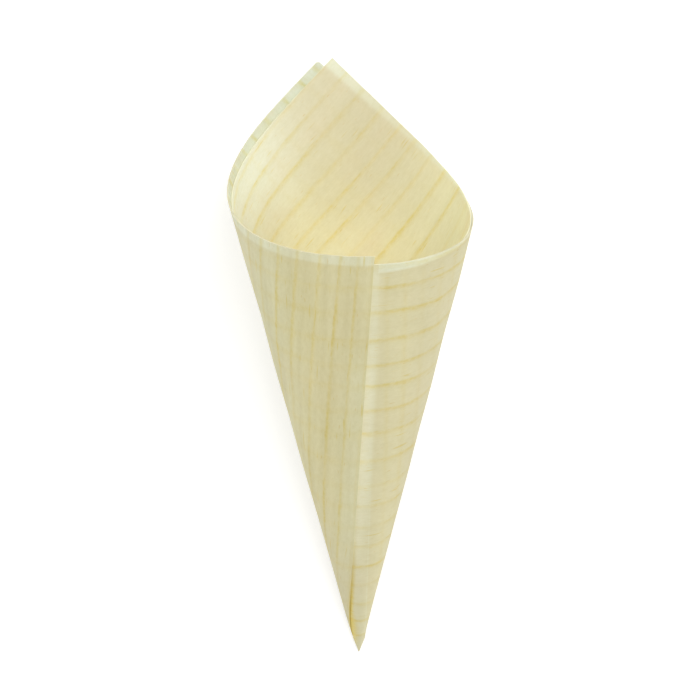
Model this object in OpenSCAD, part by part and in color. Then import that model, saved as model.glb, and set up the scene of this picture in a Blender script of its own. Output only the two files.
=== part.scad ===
// Serving cone for food, rolled from one thin sheet of wood veneer
//
// The flat sheet is an oblong about twice as long as it is high, with ends that lean a little.
// It is wound twice round a cone, about a mark near the middle of its bottom edge. The two halves
// of the bottom edge become the seam outside and the edge hidden inside, the two ends become the
// low rim at the front, and the two top corners become the peaks at the back.
// The cone lies on its back as it comes to rest, its tip towards -Y and its seam on top.

/* [Veneer sheet] */
// Thickness of the veneer
veneer_t = 0.4; // [0.2:0.05:0.6]
// Bottom edge of the sheet, from the tip mark to the corner at the seam
seam_edge = 131; // [110:1:150]
// Bottom edge of the sheet, from the tip mark to the corner inside the cone
inner_edge = 121.2; // [105:0.1:140]
// Height of the sheet above the tip mark
sheet_h = 123.3; // [105:0.1:140]
// Rise of the top edge towards the seam, for each mm of length
top_rise = 0.008; // [-0.03:0.001:0.03]
// Lean of the end at the seam towards the tip mark, for each mm of height
seam_end_lean = 0.029; // [-0.03:0.001:0.06]
// Lean of the other end away from the tip mark, for each mm of height
inner_end_lean = 0.045; // [-0.03:0.001:0.08]
// Depth of the corner worn off the outer peak
worn_corner = 0.5; // [0.1:0.1:3]

/* [Winding] */
// Half of the angle at the tip of the cone
half_angle = 14.32; // [12:0.02:17]
// Air between one turn and the next
air_gap = 0.1; // [0.05:0.01:0.3]
// Radius of the pinhole that the first full turn leaves at the tip
pinhole_r = 0.3; // [0.2:0.05:0.6]
// Shift of the winding centre along the bottom edge, towards the seam
centre_shift = 0.5; // [-4:0.1:4]
// Height of the three soft bulges that keep the cone from being quite round, as a share of its radius
bulge = 0.013; // [0:0.001:0.03]
// Turn from the seam to the top of the first bulge, in degrees
bulge_at = 38.5; // [0:0.5:119.5]

/* [Rest] */
// Turn from the seam to the straight line that the cone lies on, where its weight settles it, in degrees
rest_turn = 183; // [150:1:210]

/* [Smoothness] */
// Turn of the cone that one facet spans, in degrees
facet_turn = 3; // [2:1:8]

/* [Hidden] */
veneer_colour = [0.90, 0.86, 0.70];

// Each turn lies one pitch inside the last. Drawn on the flat sheet, the straight lines of the wound
// surface then don't all meet in one point: they touch a small circle round the winding centre.
pitch = veneer_t + air_gap;
ruling_circle_r = pitch * cos(half_angle) / (2 * PI * pow(sin(half_angle), 2));
centre_drop = (pinhole_r + veneer_t * cos(half_angle)) / sin(half_angle);
winding_centre = [centre_shift, -centre_drop];

// Corners of the flat sheet, with the tip mark at the origin and the bottom edge along X
seam_top_y = (sheet_h + top_rise * seam_edge) / (1 + top_rise * seam_end_lean);
seam_top = [seam_edge - seam_end_lean * seam_top_y, seam_top_y];
inner_top_y = (sheet_h - top_rise * inner_edge) / (1 + top_rise * inner_end_lean);
inner_top = [-inner_edge - inner_end_lean * inner_top_y, inner_top_y];
worn_side = sqrt(2) * worn_corner;
outline = [
    [seam_edge, 0],
    seam_top + [seam_end_lean, -1] * worn_side / (1 - seam_end_lean),
    seam_top + [-1, -top_rise] * worn_side / (1 + top_rise),
    inner_top,
    [-inner_edge, 0]
];
last_side = len(outline) - 2;

// Point where the line at angle a on the flat sheet leaves the small circle
function pivot(a) = winding_centre + ruling_circle_r * [sin(a), -cos(a)];

// Angle of the line that passes through point p of the sheet, found by aiming again and again
function aim(p, a = 0, tries = 12) =
    tries == 0 ? a : aim(p, atan2(p[1] - pivot(a)[1], p[0] - pivot(a)[0]), tries - 1);

corner_angles = [for (p = outline) aim(p)];

// Length of the line at angle a from its pivot to side s of the outline
function flat_cross(p, q) = p[0] * q[1] - p[1] * q[0];
function to_side(a, s) =
    let (side = outline[s + 1] - outline[s])
    flat_cross(outline[s] - pivot(a), side) / flat_cross([cos(a), sin(a)], side);

// Length of the line at angle a from its pivot to the bottom edge
function to_bottom(a) = -pivot(a)[1] / sin(a);

// Lines drawn along side s, close together at the two long bottom edges, which they cross at a slant
function crowded(t, s) = s == 0 ? t * t : s == last_side ? 1 - pow(1 - t, 2) : t;
function side_steps(s) =
    let (span = corner_angles[s + 1] - corner_angles[s])
    max(1, ceil((s == 0 || s == last_side ? 2 : 1) * span / (facet_turn * sin(half_angle))));
function side_angle(s, step) =
    corner_angles[s] + (corner_angles[s + 1] - corner_angles[s]) * crowded(step / side_steps(s), s);

// One [angle, length to the bottom edge, length to the rim] for each line across the sheet. The first
// and last corner of the sheet are left out, where a line would have no length.
lines = [
    for (s = [0 : last_side])
        for (step = [1 : side_steps(s) - (s == last_side ? 1 : 0)])
            let (a = side_angle(s, step))
            [a, to_bottom(a), to_side(a, s)]
];

// Point of the wound sheet, in a frame with the tip at the origin, the axis up and the seam to the
// front: on the line at angle a, this far from its pivot, and this deep below the outer face
function wound(a, distance, depth) =
    let (
        turn = (a - corner_angles[0]) / sin(half_angle),
        roundness = 1 + bulge * cos(3 * (turn - bulge_at)),
        r = (distance * sin(half_angle) - depth * cos(half_angle)) * roundness,
        slip = pitch / sin(half_angle) * turn / 360
    )
    [-r * sin(turn), -r * cos(turn), slip + distance * cos(half_angle) + depth * sin(half_angle)];

// Frame of the cone at rest: the line it lies on runs along Y, and its outer face there looks down
function unit(v) = v / norm(v);
small_angle = 0.001;
rest_angle = corner_angles[0] + rest_turn * sin(half_angle);
rest_base = wound(rest_angle, 0, 0);
rest_mid = wound(rest_angle, seam_edge / 2, 0);
rest_along = unit(rest_mid - rest_base);
rest_round = wound(rest_angle + small_angle, seam_edge / 2, 0) - rest_mid;
rest_up = -unit(cross(rest_along, rest_round));
rest_across = cross(rest_along, rest_up);
function laid(p) = [rest_across * (p - rest_base), rest_along * (p - rest_base), rest_up * (p - rest_base)];

// Four points for each line: outer face at the bottom edge and the rim, inner face at the rim and
// the bottom edge
laid_points = [
    for (line = lines)
        for (corner = [[1, 0], [2, 0], [2, veneer_t], [1, veneer_t]])
            laid(wound(line[0], line[corner[0]], corner[1]))
];

// The origin is under the middle of the cone, on the surface that it lies on
low = [for (axis = [0 : 2]) min([for (p = laid_points) p[axis]])];
high = [for (axis = [0 : 2]) max([for (p = laid_points) p[axis]])];
origin = [(low[0] + high[0]) / 2, (low[1] + high[1]) / 2, low[2]];
cone_points = [for (p = laid_points) p - origin];

// Two triangles for each of the four sides between one line and the next, and a cap at each end
ring_count = len(lines);
function ring_point(ring, k) = 4 * ring + k % 4;
side_faces = [
    for (ring = [0 : ring_count - 2])
        for (k = [0 : 3])
            for (half = [0, 1])
                half == 0
                    ? [ring_point(ring, k), ring_point(ring + 1, k + 1), ring_point(ring, k + 1)]
                    : [ring_point(ring, k), ring_point(ring + 1, k), ring_point(ring + 1, k + 1)]
];
seam_cap = [[for (k = [0 : 3]) ring_point(0, k)]];
inner_cap = [[for (k = [3 : -1 : 0]) ring_point(ring_count - 1, k)]];

module veneer_cone() {
    color(veneer_colour)
        polyhedron(points = cone_points, faces = concat(seam_cap, side_faces, inner_cap), convexity = 8);
}

veneer_cone();
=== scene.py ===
import bmesh
import bpy
import numpy as np
from mathutils import Matrix, Vector


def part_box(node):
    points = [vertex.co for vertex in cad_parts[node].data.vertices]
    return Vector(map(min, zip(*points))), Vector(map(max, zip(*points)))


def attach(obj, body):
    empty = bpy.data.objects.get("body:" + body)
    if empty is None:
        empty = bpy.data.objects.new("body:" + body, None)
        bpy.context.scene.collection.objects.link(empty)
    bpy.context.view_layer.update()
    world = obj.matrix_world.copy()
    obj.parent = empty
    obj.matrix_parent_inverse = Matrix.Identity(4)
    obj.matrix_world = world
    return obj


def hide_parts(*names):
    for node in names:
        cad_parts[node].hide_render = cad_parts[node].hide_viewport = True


MM = 0.001
NODE = "veneer_cone"

# Sizes of the sheet and its winding, in millimetres and degrees, as in the CAD part
VENEER = 0.4
SEAM_EDGE = 131.0
INNER_EDGE = 121.2
SHEET_HEIGHT = 123.3
TOP_RISE = 0.008
SEAM_END_LEAN = 0.029
INNER_END_LEAN = 0.045
WORN_CORNER = 0.5
HALF_ANGLE = np.radians(14.32)
AIR_GAP = 0.1
PINHOLE = 0.3
CENTRE_SHIFT = 0.5
BULGE = 0.013
BULGE_AT = np.radians(38.5)
REST_TURN = np.radians(183.0)

# Fineness of the mesh: lines across each side of the outline, and steps along each line; then how
# often a line is aimed anew, the small angle that gives a direction, and what counts as sharp
LINES_ON_SIDES = (250, 8, 250, 230)
STEPS = 46
AIM_TRIES = 12
SMALL_ANGLE = 1e-5
SHARP_EDGE = np.radians(30)

# Chamfer of the cut edges and raggedness of the rim, in millimetres. A short line is chamfered over
# at most a share of it, and is less ragged the shorter it is than a certain length. Each set of
# ragged waves has its share, its lengths and its seed
CHAMFER = 0.07
CHAMFER_SHARE = 0.2
RAGGED_RIM = 0.09
RAGGED_FROM = 8.0
RAGGED_WAVES = ((0.6, (23.0, 11.3, 6.1), 3), (0.4, (3.7, 2.3), 5))

# Unevenness of the form, in millimetres: each wave's count round the cone, its length up the cone
# and its phase, and the height above the tip where it has its stated size
UNEVEN = 0.16
UNEVEN_WAVES = ((2, 96.0, 0.4), (5, 61.0, 2.1), (7, 38.0, 4.0), (9, 27.0, 1.2))
UNEVEN_AT = 60.0
UNEVEN_MOST = 1.4

# Lift of the seam's edge, over what width, and how far up the seam it grows to its full size
SEAM_LIFT = 0.02
SEAM_LIFT_REACH = 7.0
SEAM_LIFT_UP = (15.0, 75.0)

# Rim of the inner turn, which presses outwards: how much and over what width; it grows to that over
# a share of a turn, and between two heights on the flat sheet
PRESSED_OUT = 0.085
PRESSED_REACH = 12.0
PRESSED_START = 0.1
PRESSED_HEIGHTS = (30.0, 70.0)

# Growth lines of the wood: height on the flat sheet in millimetres, and how dark each is; then the
# span of heights that they are spread over
GROWTH_LINES = (
    (-4.0, 0.5), (0.6, 0.3), (4.8, 0.7), (10.0, 0.8), (15.8, 0.6), (22.8, 0.65), (29.0, 1.0),
    (36.0, 0.6), (42.4, 0.6), (49.4, 0.5), (55.8, 0.5), (64.0, 0.9), (73.0, 1.0), (80.0, 0.65),
    (87.6, 0.95), (93.8, 0.9), (101.4, 1.0), (109.6, 0.9), (116.8, 0.9), (122.5, 0.6), (129.0, 0.5),
)
LINE_GAPS = len(GROWTH_LINES) + 1
SPAN = 140.0
SPAN_START = -6.0

# Bend of the growth lines, in millimetres: towards the seam they bow down, most at half of the
# bow's height; on the inner half they shift in two stretches, each by one amount high up and
# another low down; and all along they wander a little
SEAM_END_DROP = 3.6
SEAM_END_AT = 122.0
BOW_HEIGHT = 125.0
INNER_BENDS = (67.0, 117.0)
BEND_HEIGHTS = (110.0, 70.0)
NEAR_RISE = (1.6, 0.6)
FAR_RISE = (-0.95, 1.75)
WANDER = 0.6

# Section of a growth line, in shares of the gap to the next: its dark part and its tail below, how
# soon it ends above, and how much of its darkness is the tail's
DARK_REACH = 0.19
TAIL_REACH = 0.33
END_REACH = 0.13
TAIL_SHARE = 0.35
LINE_TINT = (0.960, 0.885, 0.560, 1.0)

# Grain: its depth in millimetres, and how far grain and mottle change red, green and blue
GRAIN_DEPTH = 0.06
GRAIN_AND_MOTTLE = ((0.85, 0.13), (1.0, 0.15), (1.6, 0.30))

# Stretches of the flat sheet in millimetres: across the tip mark, where the inner half passes into
# the outer; from there towards the seam; where the yellow-brown line on the seam's edge ends; and
# across the edge of the turn in front, from under it to beside it
ACROSS_TIP_MARK = (-5.0, 5.0)
TOWARDS_SEAM = (20.0, 60.0)
SEAM_LINE_ENDS = (12.0, 42.0)
OFF_FRONT_TURN = (0.5, 0.0)

# Greyer patch inside the cone, which is painted shade: its middle on the flat sheet and how far it
# reaches
PAINTED_SHADE_AT = (-112.0, 94.0)
PAINTED_SHADE_REACH = (27.0, 30.0)

# Camera of the photograph, in the frame of the winding: turn off the seam, rise and roll; distance
# in millimetres from the point of the cone's axis at this height, and how far right and up of the
# picture's middle that point stands; focal length in pixels and sensor in millimetres
SEAM_OFF_FRONT = np.radians(9.509)
CAMERA_RISE = np.radians(12.156)
CAMERA_ROLL = np.radians(0.760)
CAMERA_DISTANCE = 420.0
AXIS_POINT_HEIGHT = 65.0
AXIS_POINT_RIGHT = 1.388
AXIS_POINT_UP = -29.376
FOCAL_PIXELS = 1455.98
IMAGE_PIXELS = 700
SENSOR = 36.0

# Tip, pressed to a point: how far up that reaches, how far it is drawn out, how much it narrows;
# and, just above the point, how much wider it is pressed, at what height and over what reach
PINCH_REACH = 3.2
PINCH_DRAW = 1.5
PINCH_NARROW = 0.86
TIP_WIDEN = 0.27
TIP_WIDE_AT = 1.5
TIP_WIDE_REACH = 2.6

# Seam's edge, pressed thin and down towards the tip: how much, over what width, and how far up
PRESSED_THIN = 0.24
SEAM_PRESSED = 0.08
PRESSED_WIDTH = 2.0
PRESSED_UP = (8.0, 30.0)

# Strength of the surroundings at the horizon and overhead
HORIZON = 1.0
OVERHEAD = 0.35

# Lamps: name, place and point aimed at in metres, size in metres, power in watts
LAMPS = (
    ("key", (0.25, 0.25, 1.10), (0, 0, 0.03), 0.8, 5.3),
    ("mouth", (-0.40, 0.85, 0.60), (0, 0.05, 0.03), 0.6, 3.22),
    ("left", (-0.9, 0.0, 0.22), (0, 0, 0.03), 0.4, 1.3),
    ("right", (0.9, 0.0, 0.22), (0, 0, 0.03), 0.4, 1.8),
)

# Floor: size in metres, greyness, and its glow, which grows between two distances from the cone
FLOOR_SIZE = 6.0
FLOOR_GREY = 0.66
GLOW_GROWS = (0.35, 1.2)
GLOW = (0.52, 1.0)


# Flat sheet and winding, as in the CAD part
pitch = VENEER + AIR_GAP
sin_half = np.sin(HALF_ANGLE)
cos_half = np.cos(HALF_ANGLE)
ruling_circle = pitch * cos_half / (2 * np.pi * sin_half**2)
winding_centre = np.array([CENTRE_SHIFT, -(PINHOLE + VENEER * cos_half) / sin_half])
one_turn = 2 * np.pi * sin_half
step_between_turns = pitch / np.tan(HALF_ANGLE)


def flat_outline():
    """Corners of the flat sheet, from the seam round to the edge inside the cone."""
    seam_y = (SHEET_HEIGHT + TOP_RISE * SEAM_EDGE) / (1 + TOP_RISE * SEAM_END_LEAN)
    seam_top = np.array([SEAM_EDGE - SEAM_END_LEAN * seam_y, seam_y])
    inner_y = (SHEET_HEIGHT - TOP_RISE * INNER_EDGE) / (1 + TOP_RISE * INNER_END_LEAN)
    inner_top = np.array([-INNER_EDGE - INNER_END_LEAN * inner_y, inner_y])
    worn = np.sqrt(2) * WORN_CORNER
    return np.array([
        [SEAM_EDGE, 0.0],
        seam_top + np.array([SEAM_END_LEAN, -1]) * worn / (1 - SEAM_END_LEAN),
        seam_top + np.array([-1, -TOP_RISE]) * worn / (1 + TOP_RISE),
        inner_top,
        [-INNER_EDGE, 0.0],
    ])


def cross_flat(p, q):
    return p[..., 0] * q[..., 1] - p[..., 1] * q[..., 0]


def pivot(angle):
    """Point where the straight line at this angle on the flat sheet leaves the small circle."""
    return winding_centre + ruling_circle * np.stack([np.sin(angle), -np.cos(angle)], -1)


def aim(point):
    """Angle of the line through a point of the flat sheet."""
    angle = 0.0
    for _ in range(AIM_TRIES):
        x, y = point - pivot(angle)
        angle = np.arctan2(y, x)
    return angle


outline = flat_outline()
corner_angles = [aim(corner) for corner in outline]
last_side = len(outline) - 2


def flat_point(angle, distance):
    """Point of the flat sheet on the line at this angle, this far from its pivot."""
    along = np.stack([np.cos(angle), np.sin(angle)], -1)
    return pivot(angle) + distance[..., None] * along


def wound(angle, distance, depth, lift=0.0):
    """Point of the wound sheet, in a frame with the tip down, the axis up and the seam to the front."""
    turn = (angle - corner_angles[0]) / sin_half
    roundness = 1 + BULGE * np.cos(3 * (turn - BULGE_AT))
    radius = (distance * sin_half - depth * cos_half) * roundness + lift
    slip = pitch / sin_half * turn / (2 * np.pi)
    height = slip + distance * cos_half + depth * sin_half
    return np.stack([-radius * np.sin(turn), -radius * np.cos(turn), height], -1)


def pinched(place):
    """The same points once the tip has been pressed to a point."""
    height = place[..., 2] - place[..., 2].min()
    share = np.clip(1 - height / PINCH_REACH, 0, 1) ** 2
    narrow = 1 - PINCH_NARROW * share
    wide = narrow + TIP_WIDEN * np.exp(-(((height - TIP_WIDE_AT) / TIP_WIDE_REACH) ** 2))
    drawn = place[..., 2] - PINCH_DRAW * share
    return np.stack([place[..., 0] * wide, place[..., 1] * narrow, drawn], -1)


def unit(v):
    return v / np.linalg.norm(v)


def rest_axes():
    """Directions across, along and up from the line that the cone lies on, in the winding's frame."""
    angle = corner_angles[0] + REST_TURN * sin_half
    base = wound(angle, 0.0, 0.0)
    middle = wound(angle, SEAM_EDGE / 2, 0.0)
    along = unit(middle - base)
    way_round = wound(angle + SMALL_ANGLE, SEAM_EDGE / 2, 0.0) - middle
    up = -unit(np.cross(along, way_round))
    return np.stack([np.cross(along, up), along, up])


def lines_across():
    """For each line across the sheet: its angle, its lengths to the bottom edge and to the rim, and
    the sine of the angle at which it meets each of them."""
    rows = []
    for side, count in enumerate(LINES_ON_SIDES):
        start, end = corner_angles[side], corner_angles[side + 1]
        edge = outline[side + 1] - outline[side]
        for step in range(1, count + (0 if side == last_side else 1)):
            share = step / count
            if side == 0:
                share = share**2
            elif side == last_side:
                share = 1 - (1 - share) ** 2
            angle = start + (end - start) * share
            ray = np.array([np.cos(angle), np.sin(angle)])
            foot = pivot(angle)
            to_bottom = -foot[1] / ray[1]
            to_rim = cross_flat(outline[side] - foot, edge) / cross_flat(ray, edge)
            rim_sine = abs(cross_flat(ray, edge)) / np.linalg.norm(edge)
            rows.append((angle, to_bottom, to_rim, ray[1], rim_sine))
    return np.array(rows).T


def waves(run, lengths, seed):
    """Smooth unevenness along a run, between about -1 and 1, from sines of fixed lengths."""
    draw = np.random.default_rng(seed)
    sines = [np.sin(2 * np.pi * run / length + draw.uniform(0, 2 * np.pi)) for length in lengths]
    return sum(sines) / len(lengths)


def from_outline(points):
    """Distance of points of the flat plane from the sheet's outline, positive on the sheet."""
    nearest = np.full(points.shape[:-1], np.inf)
    inside = np.ones(points.shape[:-1], bool)
    for index, corner in enumerate(outline):
        side = outline[(index + 1) % len(outline)] - corner
        away = points - corner
        share = np.clip((away @ side) / (side @ side), 0, 1)
        nearest = np.minimum(nearest, np.linalg.norm(away - share[..., None] * side, axis=-1))
        inside &= side[0] * away[..., 1] - side[1] * away[..., 0] > 0
    return np.where(inside, nearest, -nearest)


def low_on_seam(flat):
    """1 on the lowest stretch of the seam's half of the sheet, fading to 0 further up the seam."""
    full_at, gone_at = PRESSED_UP
    return np.clip((flat[..., 0] - gone_at) / (full_at - gone_at), 0, 1) * (flat[..., 0] > 0)


def lift_at(place, flat, angle):
    """How far each point is moved outwards: by a slight unevenness, alike in both turns so that they
    stay apart, by the seam's lifted and pressed edge, and by the inner turn's pressing rim."""
    round_angle = np.arctan2(place[..., 0], -place[..., 1])
    height = place[..., 2]
    lift = np.zeros_like(height)
    for count, length, phase in UNEVEN_WAVES:
        wave = np.sin(count * round_angle + 2 * np.pi * height / length + phase)
        lift += wave / len(UNEVEN_WAVES)
    lift *= UNEVEN * np.clip(height / UNEVEN_AT, 0, UNEVEN_MOST)
    by_seam = np.clip(1 - flat[..., 1] / SEAM_LIFT_REACH, 0, 1) ** 2
    lift_from, lift_full = SEAM_LIFT_UP
    along_seam = np.clip((flat[..., 0] - lift_from) / (lift_full - lift_from), 0, 1)
    lift += SEAM_LIFT * by_seam * along_seam
    lift -= SEAM_PRESSED * np.clip(1 - flat[..., 1] / PRESSED_WIDTH, 0, 1) * low_on_seam(flat)
    second_turn = np.clip((angle - corner_angles[0] - one_turn) / (PRESSED_START * one_turn), 0, 1)
    by_rim = np.clip(1 - from_outline(flat) / PRESSED_REACH, 0, 1)
    press_from, press_full = PRESSED_HEIGHTS
    above_tip = np.clip((flat[..., 1] - press_from) / (press_full - press_from), 0, 1)
    return lift + PRESSED_OUT * second_turn * by_rim * above_tip


# One loop of points round the sheet's thickness for each line: up the outer face, over the cut rim,
# down the inner face and back under the cut bottom edge
OUTER_END = STEPS
INNER_START = STEPS + 3
INNER_END = 2 * STEPS + 3
LOOP = 2 * STEPS + 6


def loop_points():
    """Angle, distance and depth of every point of every loop."""
    angle, low, high, low_sine, high_sine = lines_across()
    length = high - low
    ends = flat_point(angle, high)
    run = np.concatenate([[0.0], np.cumsum(np.linalg.norm(np.diff(ends, axis=0), axis=1))])
    ragged = sum(share * waves(run, lengths, seed) for share, lengths, seed in RAGGED_WAVES)
    high = high + RAGGED_RIM * ragged * np.clip(length / RAGGED_FROM, 0, 1)
    start = low + np.minimum(CHAMFER / low_sine, CHAMFER_SHARE * length)
    end = high - np.minimum(CHAMFER / high_sine, CHAMFER_SHARE * length)
    along = start[:, None] + (end - start)[:, None] * np.linspace(0, 1, STEPS + 1)
    distance = np.concatenate([
        along,
        np.repeat(high[:, None], 2, 1),
        along[:, ::-1],
        np.repeat(low[:, None], 2, 1),
    ], 1)
    edge = np.array([CHAMFER, VENEER - CHAMFER])
    face = np.ones(STEPS + 1)
    depth = np.concatenate([0 * face, edge, VENEER * face, edge[::-1]])
    angle = np.broadcast_to(angle[:, None], distance.shape)
    flat = flat_point(angle, distance)
    by_seam = np.clip(1 - flat[..., 1] / PRESSED_WIDTH, 0, 1) ** 2
    from_inner_face = 1 - depth / VENEER
    return angle, distance, depth + PRESSED_THIN * by_seam * low_on_seam(flat) * from_inner_face


def loop_faces(columns):
    """Four-sided faces between neighbouring loops, and a strip of them over each end of the sheet."""
    grid = np.arange(columns * LOOP).reshape(columns, LOOP)
    after = np.roll(grid, -1, axis=1)
    sides = np.stack([grid[:-1], grid[1:], after[1:], after[:-1]], -1).reshape(-1, 4)
    up = np.arange(OUTER_END)
    down = INNER_END - up
    strip = np.stack([up, up + 1, down - 1, down], -1)
    rim = np.array([[OUTER_END, OUTER_END + 1, OUTER_END + 2, INNER_START]])
    bottom = np.array([[0, INNER_END, INNER_END + 1, INNER_END + 2]])
    cap = np.concatenate([strip, rim, bottom])
    return np.concatenate([sides, cap, cap[:, ::-1] + (columns - 1) * LOOP])


def flat_map(mesh, flat, columns):
    """UV map with the outer face at the bottom and the inner face above it, both unstretched, and the
    cut edges as two strips on top."""
    # The map's side, margins and height of a face are millimetres, and the strips are shares of it
    side = 275.0
    left_margin, low_margin = 136, 2
    face_height = 132
    rim_strip, bottom_strip = 0.965, 0.982
    strip_start, strip_length, strip_step = 0.01, 0.98, 0.004
    step = np.arange(len(flat)) % LOOP
    column = np.arange(len(flat)) // LOOP
    inner = (step >= INNER_START) & (step <= INNER_END)
    from_left = flat[:, 0] + left_margin
    from_bottom = flat[:, 1] + low_margin + face_height * inner
    spot = np.stack([from_left / side, from_bottom / side], -1)
    corner_vertex = np.zeros(len(mesh.loops), np.int32)
    mesh.loops.foreach_get("vertex_index", corner_vertex)
    uv = spot[corner_vertex]
    face_steps = step[corner_vertex].reshape(-1, 4)
    low, high = face_steps.min(1), face_steps.max(1)
    by_rim = (low >= OUTER_END) & (high <= INNER_START)
    by_bottom = (low >= INNER_END) | ((low == 0) & (high >= INNER_END))
    strips = ((by_rim, OUTER_END, rim_strip), (by_bottom, INNER_END, bottom_strip))
    for chosen, first, strip in strips:
        pick = np.repeat(chosen, 4)
        steps_up = (step[corner_vertex[pick]] - first) % LOOP
        along = strip_start + strip_length * column[corner_vertex[pick]] / columns
        uv[pick] = np.stack([along, strip + strip_step * steps_up], -1)
    layer = mesh.uv_layers.new(name="OFBake", do_init=False)
    layer.uv.foreach_set("vector", uv.astype(np.float32).ravel())


def add_numbers(mesh, name, values):
    """Stores three numbers for each point of the mesh, for the material to read."""
    attribute = mesh.attributes.new(name, "FLOAT_VECTOR", "POINT")
    attribute.data.foreach_set("vector", values.astype(np.float32).ravel())


def build_sheet():
    """The wound sheet as one closed mesh, in metres, where the CAD node lies."""
    angle, distance, depth = loop_points()
    flat = flat_point(angle, distance)
    lift = lift_at(wound(angle, distance, depth), flat, angle)
    axes = rest_axes()
    columns = len(angle)

    # The plain form is laid into the CAD node's box, and the uneven form moves with it
    low_corner, high_corner = (np.array(corner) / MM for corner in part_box(NODE))
    plain = (wound(angle, distance, depth) @ axes.T).reshape(-1, 3)
    middle = (plain.min(0) + plain.max(0)) / 2
    shift = (low_corner + high_corner) / 2 - middle
    shift[2] = low_corner[2] - plain[:, 2].min()
    place = (pinched(wound(angle, distance, depth, lift)) @ axes.T).reshape(-1, 3) + shift
    place[:, 2] -= min(0.0, place[:, 2].min())

    mesh = bpy.data.meshes.new("veneer_sheet")
    mesh.from_pydata((place * MM).tolist(), [], loop_faces(columns).tolist())
    flat_map(mesh, flat.reshape(-1, 2), columns)

    # What the material reads: the place on the flat sheet and which face this is; the place on the
    # turn behind this one and how far it reaches past here; the distance from the sheet's own
    # outline, where the cut edge is, and the distance from the edge of the turn in front
    steps = np.broadcast_to(np.arange(LOOP), distance.shape)
    inner = (steps >= OUTER_END + 2) & (steps <= INNER_END + 1)
    way = np.where(inner, -1.0, 1.0)
    behind = flat_point(angle + way * one_turn, distance - way * step_between_turns)
    front = flat_point(angle - one_turn, distance + step_between_turns)
    cut = ((steps > OUTER_END) & (steps < INNER_START)) | (steps > INNER_END)
    cut = np.where((np.arange(columns) % (columns - 1) == 0)[:, None], True, cut)
    own = from_outline(flat)
    add_numbers(mesh, "flat_place", np.dstack([flat, inner]).reshape(-1, 3))
    add_numbers(mesh, "turn_behind", np.dstack([behind, from_outline(behind)]).reshape(-1, 3))
    add_numbers(mesh, "edge_place", np.dstack([own, cut, front[..., 1]]).reshape(-1, 3))

    work = bmesh.new()
    work.from_mesh(mesh)
    bmesh.ops.recalc_face_normals(work, faces=work.faces)
    work.to_mesh(mesh)
    work.free()
    mesh.polygons.foreach_set("use_smooth", [True] * len(mesh.polygons))
    mesh.set_sharp_from_angle(angle=SHARP_EDGE)
    sheet = bpy.data.objects.new("veneer_sheet", mesh)
    bpy.context.scene.collection.objects.link(sheet)
    return sheet, axes, shift


def tone(red, green, blue):
    """A colour written as it looks on screen, from 0 to 255, as the linear numbers of a shader."""
    levels = np.array([red, green, blue]) / 255
    linear = np.where(levels <= 0.04045, levels / 12.92, ((levels + 0.055) / 1.055) ** 2.4)
    return (*linear.tolist(), 1.0)


class Nodes:
    """Short calls that add one shader node each and give its result."""

    def __init__(self, tree):
        self.tree = tree
        tree.nodes.clear()

    def add(self, kind, **settings):
        made = self.tree.nodes.new(kind)
        for name, value in settings.items():
            setattr(made, name, value)
        return made

    def put(self, socket, value):
        if isinstance(value, bpy.types.NodeSocket):
            self.tree.links.new(value, socket)
        else:
            socket.default_value = value

    def math(self, operation, first, second=0.0):
        made = self.add("ShaderNodeMath", operation=operation)
        self.put(made.inputs[0], first)
        self.put(made.inputs[1], second)
        return made.outputs[0]

    def times(self, first, *others):
        for other in others:
            first = self.math("MULTIPLY", first, other)
        return first

    def plus(self, first, *others):
        for other in others:
            first = self.math("ADD", first, other)
        return first

    def opposite(self, share):
        """1 less a share."""
        return self.math("SUBTRACT", 1.0, share)

    def about_zero(self, share):
        """A share from 0 to 1 moved so that it lies round 0."""
        return self.plus(share, -0.5)

    def linear(self, value, start, end, at_start=0.0, at_end=1.0, way="LINEAR"):
        """Goes evenly from one number to another while the value goes from start to end."""
        made = self.add("ShaderNodeMapRange", interpolation_type=way, clamp=True)
        for socket, number in zip(made.inputs, (value, start, end, at_start, at_end)):
            self.put(socket, number)
        return made.outputs[0]

    def fade(self, value, start, end, at_start=0.0, at_end=1.0):
        """Goes smoothly from one number to another while the value goes from start to end."""
        return self.linear(value, start, end, at_start, at_end, "SMOOTHSTEP")

    def vector(self, x, y, z):
        made = self.add("ShaderNodeCombineXYZ")
        for socket, number in zip(made.inputs, (x, y, z)):
            self.put(socket, number)
        return made.outputs[0]

    def noise(self, x, y, rates, seed, detail=2.0, roughness=0.5):
        """Soft random shares from 0 to 1. The rates say how fast they change along x and along y, and
        each seed gives another pattern."""
        made = self.add("ShaderNodeTexNoise")
        spot = self.vector(self.times(x, rates[0]), self.times(y, rates[1]), seed)
        self.put(made.inputs["Vector"], spot)
        self.put(made.inputs["Scale"], 1.0)
        self.put(made.inputs["Detail"], detail)
        self.put(made.inputs["Roughness"], roughness)
        return made.outputs["Fac"]

    def tint(self, share, first, second, blend="MIX"):
        """Mixes a second colour into the first."""
        made = self.add("ShaderNodeMix", data_type="RGBA", blend_type=blend)
        self.put(made.inputs["Factor"], share)
        self.put(made.inputs[6], first)
        self.put(made.inputs[7], second)
        return made.outputs[2]

    def attribute(self, name):
        """The three numbers stored for each point under a name."""
        read = self.add("ShaderNodeAttribute", attribute_name=name)
        split = self.add("ShaderNodeSeparateXYZ")
        self.put(split.inputs[0], read.outputs["Vector"])
        return split.outputs[0], split.outputs[1], split.outputs[2]


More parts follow.
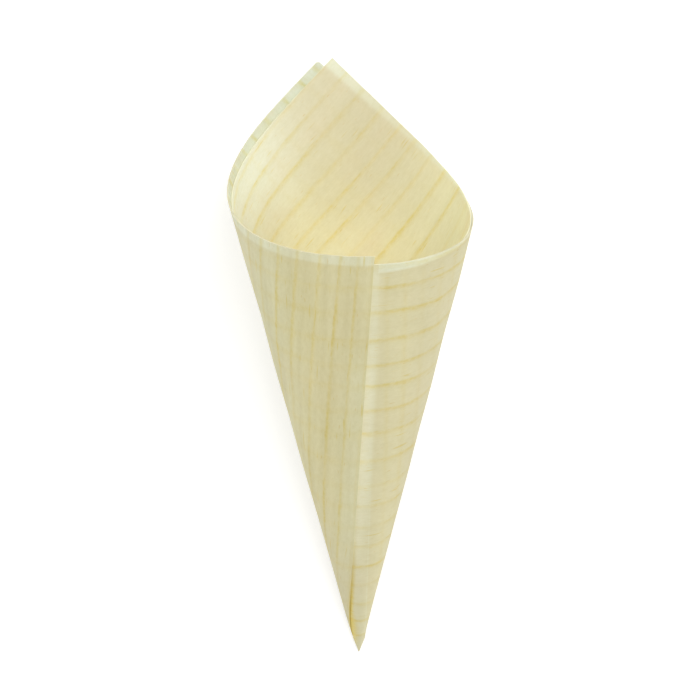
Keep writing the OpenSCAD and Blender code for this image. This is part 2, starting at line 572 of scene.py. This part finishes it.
def growth_height(n, x, y):
    """Height of a point in the wood's growth: its lines bend a little towards the ends of the sheet."""
    out = n.math("MAXIMUM", n.times(x, 1 / SEAM_END_AT), 0.0)
    out = n.times(out, out)
    bow = n.math("SINE", n.times(y, np.pi / BOW_HEIGHT))
    seam_side = n.times(out, out, bow, SEAM_END_DROP)
    inward = n.times(x, -1.0)
    near_end, far_end = INNER_BENDS
    near = n.times(n.linear(inward, 0.0, near_end), n.linear(y, *BEND_HEIGHTS, *NEAR_RISE))
    far = n.times(n.linear(inward, near_end, far_end), n.linear(y, *BEND_HEIGHTS, *FAR_RISE))
    drift = n.noise(x, y, (0.028, 0.045), 3.1, detail=1.0)
    quiver = n.noise(x, y, (0.22, 0.12), 7.7)
    drift = n.times(n.about_zero(drift), WANDER)
    quiver = n.times(n.about_zero(quiver), WANDER)
    return n.plus(y, seam_side, near, far, drift, quiver)


def line_number(n, height):
    """Number of the growth line at a height in the growth, with fractions between the lines."""
    curve = n.add("ShaderNodeFloatCurve")
    line = curve.mapping.curves[0]
    line.points[0].location = (0.0, 0.0)
    line.points[1].location = (1.0, 1.0)
    for index, (at, _) in enumerate(GROWTH_LINES):
        line.points.new((at - SPAN_START) / SPAN, (index + 1) / LINE_GAPS)
    for point in line.points:
        point.handle_type = "VECTOR"
    curve.mapping.update()
    n.put(curve.inputs["Value"], n.times(n.plus(height, -SPAN_START), 1 / SPAN))
    return n.times(curve.outputs[0], LINE_GAPS)


def line_strength(n, number):
    """How dark the growth line with this number is."""
    ramp = n.add("ShaderNodeValToRGB")
    stops = ramp.color_ramp.elements
    ramp.color_ramp.interpolation = "LINEAR"
    stops[0].position, stops[0].color = 0.0, (0.5, 0.5, 0.5, 1)
    stops[1].position, stops[1].color = 1.0, (0.5, 0.5, 0.5, 1)
    for index, (_, dark) in enumerate(GROWTH_LINES):
        stop = stops.new((index + 1) / LINE_GAPS)
        stop.color = (dark, dark, dark, 1)
    n.put(ramp.inputs[0], n.times(number, 1 / LINE_GAPS))
    return ramp.outputs[0]


def growth_lines(n, x, y, softness=0.0):
    """How dark the growth lines are at a place on the flat sheet, from 0 to about 1. A line darkens
    gradually from below and ends sharply above, and its strength varies along it."""
    number = line_number(n, growth_height(n, x, y))
    nearest = n.math("ROUND", number)
    off = n.math("SUBTRACT", number, nearest)
    tail = n.math("MAXIMUM", n.plus(n.times(off, 1 / TAIL_REACH), 1.0), 0.0)
    dark = n.times(n.fade(off, -DARK_REACH - softness, 0.0), 1 - TAIL_SHARE)
    gradual = n.plus(dark, n.times(tail, tail, TAIL_SHARE))
    sharp = n.fade(off, 0.0, END_REACH + softness, 1.0, 0.0)
    below = n.math("LESS_THAN", off, 0.0)
    body = n.plus(n.times(below, gradual), n.times(n.opposite(below), sharp))
    patch = n.noise(x, number, (0.09, 0.9), 1.3, roughness=0.6)
    patch = n.fade(patch, 0.30, 0.68, 0.40, 1.12)
    beads = n.noise(x, y, (0.75, 1.3), 2.2, roughness=0.7)
    beads = n.fade(beads, 0.30, 0.72, 0.62, 1.22)
    return n.times(body, line_strength(n, nearest), patch, beads)


class Place:
    """What the mesh tells the material about a point of the sheet, in millimetres and shares."""

    def __init__(self, n):
        self.x, self.y, self.inner = n.attribute("flat_place")
        self.behind_x, self.behind_y, self.behind_margin = n.attribute("turn_behind")
        self.rim, self.cut, self.front_y = n.attribute("edge_place")
        self.outer = n.opposite(self.inner)


def sheet_tones(n, at):
    """The tone over the sheet: outside, the wood's own change towards the seam; inside, painted light
    and shade for the light that comes through the layers and goes from wall to wall: lighter low down
    and away from the inner end, darker at the peak, and warmer away from the rims."""
    outer_wood = tone(224, 216, 173)
    tip_wood = tone(217, 209, 168)
    seam_wood = tone(221, 213, 166)
    left_wood = tone(219, 214, 172)
    edge_wood = tone(227, 222, 180)
    low_side = n.tint(n.fade(at.x, 8.0, 18.0), outer_wood, tip_wood)
    seam_side = n.tint(n.fade(at.y, 14.0, 36.0), seam_wood, left_wood)
    edge_side = n.tint(n.fade(at.x, 92.0, 106.0), edge_wood, seam_wood)
    seam_side = n.tint(n.fade(at.y, 1.5, 8.0), edge_side, seam_side)
    outside = n.tint(n.fade(at.x, *TOWARDS_SEAM), low_side, seam_side)

    # Inside: painted light and shade, standing in for light through the layers and from wall to wall
    low_painted_light = tone(246, 242, 194)
    side_painted_light = tone(233, 228, 187)
    peak_painted_shade = tone(222, 214, 179)
    inner_painted_light = tone(236, 236, 211)
    deep_painted_light = tone(236, 228, 186)
    sliver_wood = tone(217, 220, 193)
    by_side = n.tint(n.fade(at.y, 40.0, 62.0), low_painted_light, side_painted_light)
    by_end = n.tint(n.fade(at.y, 68.0, 100.0), by_side, peak_painted_shade)
    by_top = n.tint(n.fade(at.x, -122.0, -76.0), by_end, inner_painted_light)
    inside = n.tint(n.fade(at.rim, 3.0, 32.0), by_top, deep_painted_light)
    inside = n.tint(n.fade(at.x, *ACROSS_TIP_MARK), inside, sliver_wood)
    return n.tint(at.inner, outside, inside)


def with_single_layers(n, at, colour):
    """One layer alone lets more light through than two: a band along the rim, where the next turn
    lies a little lower, a soft strip beside the seam, and the wood right under the seam's edge."""
    single_wood = tone(237, 240, 214)
    lit_wood = tone(246, 241, 204)
    past_behind = n.fade(at.behind_margin, 0.55, -0.45)
    crisp = n.times(past_behind, at.outer, n.fade(at.x, 8.0, 26.0, 0.75, 0.42))
    soft = n.times(n.fade(at.behind_margin, 0.6, -1.2), at.inner, 0.75)
    by_rim = n.times(n.plus(crisp, soft), n.fade(at.behind_y, -0.2, 0.2))
    by_seam = n.times(n.fade(at.behind_y, 1.3, -0.8), n.fade(at.y, 30.0, 65.0, 0.1, 0.35), at.outer)
    colour = n.tint(n.math("MAXIMUM", by_rim, by_seam), colour, single_wood)

    under_edge = n.times(n.fade(at.front_y, -4.4, -0.4), n.fade(at.front_y, *OFF_FRONT_TURN), at.outer)
    grows_up = n.fade(at.y, 12.0, 55.0, 0.0, 0.85)
    weakens_on_top = n.fade(at.y, 82.0, 112.0, 1.0, 0.40)
    return n.tint(n.times(under_edge, grows_up, weakens_on_top), colour, lit_wood)


def with_blotches_and_painted_shade(n, at, colour):
    """Soft blotches, pinker inside the cone, and a greyer patch there that is painted shade."""
    blush_wood = tone(228, 209, 170)
    painted_shade_wood = tone(213, 203, 163)
    cloud = n.noise(at.x, at.y, (0.035, 0.06), 5.0, detail=3.0)
    blush = n.times(n.fade(cloud, 0.45, 0.75), n.plus(n.times(at.inner, 0.25), 0.12))
    colour = n.tint(blush, colour, blush_wood)
    # Painted shade: a greyer patch inside the cone near the peak, frayed by the same cloud
    off_x = n.times(n.plus(at.x, -PAINTED_SHADE_AT[0]), 1 / PAINTED_SHADE_REACH[0])
    off_y = n.times(n.plus(at.y, -PAINTED_SHADE_AT[1]), 1 / PAINTED_SHADE_REACH[1])
    frayed = n.times(n.about_zero(cloud), 1.5)
    off_painted_shade = n.plus(n.times(off_x, off_x), n.times(off_y, off_y), frayed)
    return n.tint(n.times(n.fade(off_painted_shade, 1.2, 0.0), at.inner, 0.45), colour, painted_shade_wood)


def with_growth_lines(n, at, colour, lines):
    """Growth lines: first those of the turn behind, which show faintly through, then this turn's
    own, a little stronger towards the seam and fainter inside near the peak."""
    through = growth_lines(n, at.behind_x, at.behind_y, softness=0.12)
    shine = n.plus(n.times(at.outer, 0.22), 0.11)
    shown = n.times(through, n.fade(at.behind_margin, 0.0, 1.5), shine)
    colour = n.tint(shown, colour, LINE_TINT, "MULTIPLY")
    by_peak = n.times(n.fade(at.x, -92.0, -112.0), n.fade(at.y, 84.0, 104.0), at.inner)
    strength = n.math("SUBTRACT", n.fade(at.x, *TOWARDS_SEAM, 0.9, 1.05), n.times(by_peak, 0.4))
    return n.tint(n.times(lines, strength), colour, LINE_TINT, "MULTIPLY")


def with_grain(n, at, colour, fibre, streak):
    """Fibres, and streaks that are stronger towards the seam, both along the sheet, and a mottle
    that is yellower where it is darker."""
    fibres = n.times(n.about_zero(fibre), n.fade(at.x, *TOWARDS_SEAM, 0.11, 0.07))
    streaks = n.times(n.about_zero(streak), n.fade(at.x, *TOWARDS_SEAM, 0.07, 0.23))
    grain = n.plus(fibres, streaks)
    mottle = n.noise(at.x, at.y, (0.55, 0.85), 6.0, detail=3.0, roughness=0.7)
    mottle = n.times(n.about_zero(mottle), n.fade(at.x, *TOWARDS_SEAM, 1.0, 1.3))
    levels = []
    for grain_share, mottle_share in GRAIN_AND_MOTTLE:
        levels.append(n.plus(n.times(grain, grain_share), n.times(mottle, mottle_share), 1.0))
    return n.tint(1.0, colour, n.vector(*levels), "MULTIPLY")


def with_flecks(n, at, colour, spots):
    """Short dark flecks, and broken pieces of line between the growth lines."""
    fleck_tint = (0.93, 0.80, 0.50, 1.0)
    flecks = n.times(n.fade(spots, 0.70, 0.80), 0.7)
    colour = n.tint(flecks, colour, fleck_tint, "MULTIPLY")
    dashes = n.noise(at.x, at.y, (0.12, 1.25), 8.0, detail=1.0)
    dashes = n.times(n.fade(dashes, 0.66, 0.76), 0.75)
    return n.tint(dashes, colour, LINE_TINT, "MULTIPLY")


def with_cut_edges(n, at, colour):
    """Cut edges, paler on the inner turn: its light end grain, with painted light that lifts the shade
    in the gap between the turns.
    """
    outer_cut_wood = tone(214, 206, 170)
    # End grain and painted light: the inner turn's cut edge, lighter against the shade of the gap
    inner_cut_painted_light = tone(242, 239, 210)
    cut_wood = n.tint(n.fade(at.x, *ACROSS_TIP_MARK), inner_cut_painted_light, outer_cut_wood)
    return n.tint(n.times(at.cut, 0.85), colour, cut_wood)


def with_seam_edge_line(n, at, colour, spots):
    """A yellow-brown line along the lower part of the seam's edge, and the same tint on the wood beside
    it.
    """
    seam_line_tint = (1.02, 0.87, 0.33, 1.0)
    by_edge = n.fade(at.y, 0.0, 0.5, 1.0, 0.0)
    low_down = n.times(n.fade(at.x, *SEAM_LINE_ENDS, 1.0, 0.0), n.fade(at.x, 1.5, 4.0))
    beside_from = n.fade(at.y, 6.0, 14.0, -4.4, -1.6)
    beside = n.fade(at.front_y, beside_from, -0.1)
    beside = n.times(beside, n.fade(at.front_y, *OFF_FRONT_TURN), at.outer)
    low_beside = n.times(n.fade(at.y, *SEAM_LINE_ENDS, 1.0, 0.0), n.fade(at.y, 1.0, 3.0))
    low_beside = n.times(low_beside, n.fade(at.x, 10.0, 5.0))
    seam_line = n.math("MAXIMUM", n.times(by_edge, low_down), n.times(beside, low_beside))
    seam_line = n.times(seam_line, n.fade(spots, 0.3, 0.5, 0.75, 1.0))
    return n.tint(seam_line, colour, seam_line_tint, "MULTIPLY")


def veneer_material():
    """Pale bare wood, sliced thin: growth lines, fibres, flecks, soft blotches and light cut edges, with
    painted light and shade inside the cone and painted light along the rims and the seam.
    """
    made = bpy.data.materials.new("veneer_wood")
    made.use_nodes = True
    n = Nodes(made.node_tree)
    at = Place(n)
    lines = growth_lines(n, at.x, at.y)
    fibre = n.noise(at.x, at.y, (0.25, 2.6), 0.0, detail=3.0, roughness=0.6)
    streak = n.noise(at.x, at.y, (0.02, 0.30), 9.0, detail=1.0)
    spots = n.noise(at.x, at.y, (0.33, 2.1), 4.0, detail=1.0)

    colour = sheet_tones(n, at)
    colour = with_single_layers(n, at, colour)
    colour = with_blotches_and_painted_shade(n, at, colour)
    colour = with_growth_lines(n, at, colour, lines)
    colour = with_grain(n, at, colour, fibre, streak)
    colour = with_flecks(n, at, colour, spots)
    colour = with_cut_edges(n, at, colour)
    colour = with_seam_edge_line(n, at, colour, spots)

    bump = n.add("ShaderNodeBump")
    n.put(bump.inputs["Strength"], 0.35)
    n.put(bump.inputs["Distance"], GRAIN_DEPTH * MM)
    n.put(bump.inputs["Height"], n.plus(n.times(fibre, 0.6), n.times(streak, 0.5), n.times(lines, -0.5)))

    shader = n.add("ShaderNodeBsdfPrincipled")
    n.put(shader.inputs["Base Color"], colour)
    n.put(shader.inputs["Roughness"], n.fade(fibre, 0.2, 0.8, 0.60, 0.74))
    shader.inputs["Specular IOR Level"].default_value = 0.3
    shader.inputs["Sheen Weight"].default_value = 0.12
    shader.inputs["Sheen Roughness"].default_value = 0.5
    n.put(shader.inputs["Normal"], bump.outputs[0])
    output = n.add("ShaderNodeOutputMaterial")
    n.put(output.inputs["Surface"], shader.outputs[0])
    return made


def seen_directly(n):
    """1 for rays from the camera, and for those that a mirror or glass sends on."""
    path = n.add("ShaderNodeLightPath")
    direct = n.math("MAXIMUM", path.outputs["Is Camera Ray"], path.outputs["Is Glossy Ray"])
    return n.math("MAXIMUM", direct, path.outputs["Is Transmission Ray"])


def build_floor():
    """Plain pale floor, which the camera sees as near white and which keeps the cone's shadow."""
    bpy.ops.mesh.primitive_plane_add(size=FLOOR_SIZE, location=(0, 0, 0))
    floor = bpy.context.object
    floor.name = "floor"
    made = bpy.data.materials.new("pale_floor")
    made.use_nodes = True
    n = Nodes(made.node_tree)
    matt = n.add("ShaderNodeBsdfDiffuse")
    n.put(matt.inputs["Color"], (FLOOR_GREY, FLOOR_GREY, FLOOR_GREY, 1))
    glow = n.add("ShaderNodeEmission")
    n.put(glow.inputs["Color"], (1, 1, 1, 1))
    spot = n.add("ShaderNodeVectorMath", operation="LENGTH")
    n.put(spot.inputs[0], n.add("ShaderNodeTexCoord").outputs["Object"])
    strength = n.fade(spot.outputs["Value"], *GLOW_GROWS, *GLOW)
    n.put(glow.inputs["Strength"], n.times(seen_directly(n), strength))
    both = n.add("ShaderNodeAddShader")
    n.put(both.inputs[0], matt.outputs[0])
    n.put(both.inputs[1], glow.outputs[0])
    output = n.add("ShaderNodeOutputMaterial")
    n.put(output.inputs["Surface"], both.outputs[0])
    floor.data.materials.append(made)


def build_world():
    """Even white surroundings."""
    world = bpy.data.worlds.new("studio")
    bpy.context.scene.world = world
    world.use_nodes = True
    n = Nodes(world.node_tree)
    back = n.add("ShaderNodeBackground")
    n.put(back.inputs["Color"], (1, 1, 1, 1))
    spot = n.add("ShaderNodeSeparateXYZ")
    n.put(spot.inputs[0], n.add("ShaderNodeTexCoord").outputs["Generated"])
    strength = n.fade(spot.outputs[2], 0.0, 0.7, HORIZON, OVERHEAD)
    n.put(back.inputs["Strength"], n.math("MAXIMUM", strength, seen_directly(n)))
    output = n.add("ShaderNodeOutputWorld")
    n.put(output.inputs["Surface"], back.outputs[0])


def build_lamp(name, place, aim_at, size, power):
    """Large soft lamp, aimed at a point."""
    light = bpy.data.lights.new(name, "AREA")
    light.shape = "DISK"
    light.size = size
    light.energy = power
    lamp = bpy.data.objects.new(name, light)
    lamp.location = place
    lamp.rotation_euler = (Vector(aim_at) - Vector(place)).to_track_quat("-Z", "Y").to_euler()
    bpy.context.scene.collection.objects.link(lamp)


def build_camera(axes, shift):
    """Camera at the photograph's view, set up in the winding's frame and laid down with the cone."""
    rise, roll = CAMERA_RISE, CAMERA_ROLL
    right = np.array([1.0, 0.0, 0.0])
    up = np.array([0.0, np.sin(rise), np.cos(rise)])
    ahead = np.array([0.0, np.cos(rise), -np.sin(rise)])
    axis_point = np.array([0.0, 0.0, AXIS_POINT_HEIGHT])
    spot = axis_point - AXIS_POINT_RIGHT * right - AXIS_POINT_UP * up - CAMERA_DISTANCE * ahead
    rolled_right = right * np.cos(roll) - up * np.sin(roll)
    rolled_up = right * np.sin(roll) + up * np.cos(roll)
    turn = np.array([
        [np.cos(SEAM_OFF_FRONT), np.sin(SEAM_OFF_FRONT), 0.0],
        [-np.sin(SEAM_OFF_FRONT), np.cos(SEAM_OFF_FRONT), 0.0],
        [0.0, 0.0, 1.0],
    ])
    to_rest = axes @ turn
    columns = [to_rest @ rolled_right, to_rest @ rolled_up, to_rest @ -ahead]
    spot = (to_rest @ spot + shift) * MM
    data = bpy.data.cameras.new("photo_view")
    data.sensor_width = SENSOR
    data.lens = FOCAL_PIXELS * SENSOR / IMAGE_PIXELS
    data.clip_start = 0.01
    data.clip_end = 20.0
    camera = bpy.data.objects.new("photo_view", data)
    matrix = Matrix.Identity(4)
    for index, column in enumerate(columns):
        for row in range(3):
            matrix[row][index] = column[row]
    matrix.translation = Vector(spot.tolist())
    camera.matrix_world = matrix
    bpy.context.scene.collection.objects.link(camera)
    bpy.context.scene.camera = camera


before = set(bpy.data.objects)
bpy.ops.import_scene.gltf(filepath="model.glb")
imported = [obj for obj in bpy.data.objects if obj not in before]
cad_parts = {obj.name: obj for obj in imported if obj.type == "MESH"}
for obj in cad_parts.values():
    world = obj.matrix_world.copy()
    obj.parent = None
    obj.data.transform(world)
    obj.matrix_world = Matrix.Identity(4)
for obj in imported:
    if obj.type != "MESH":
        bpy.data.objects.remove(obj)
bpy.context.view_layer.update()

sheet, axes, shift = build_sheet()
sheet.data.materials.append(veneer_material())
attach(sheet, "root")
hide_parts(NODE)

build_floor()
build_world()
for name, place, aim_at, size, power in LAMPS:
    build_lamp(name, place, aim_at, size, power)
build_camera(axes, shift)
bpy.context.scene.view_settings.view_transform = "Standard"
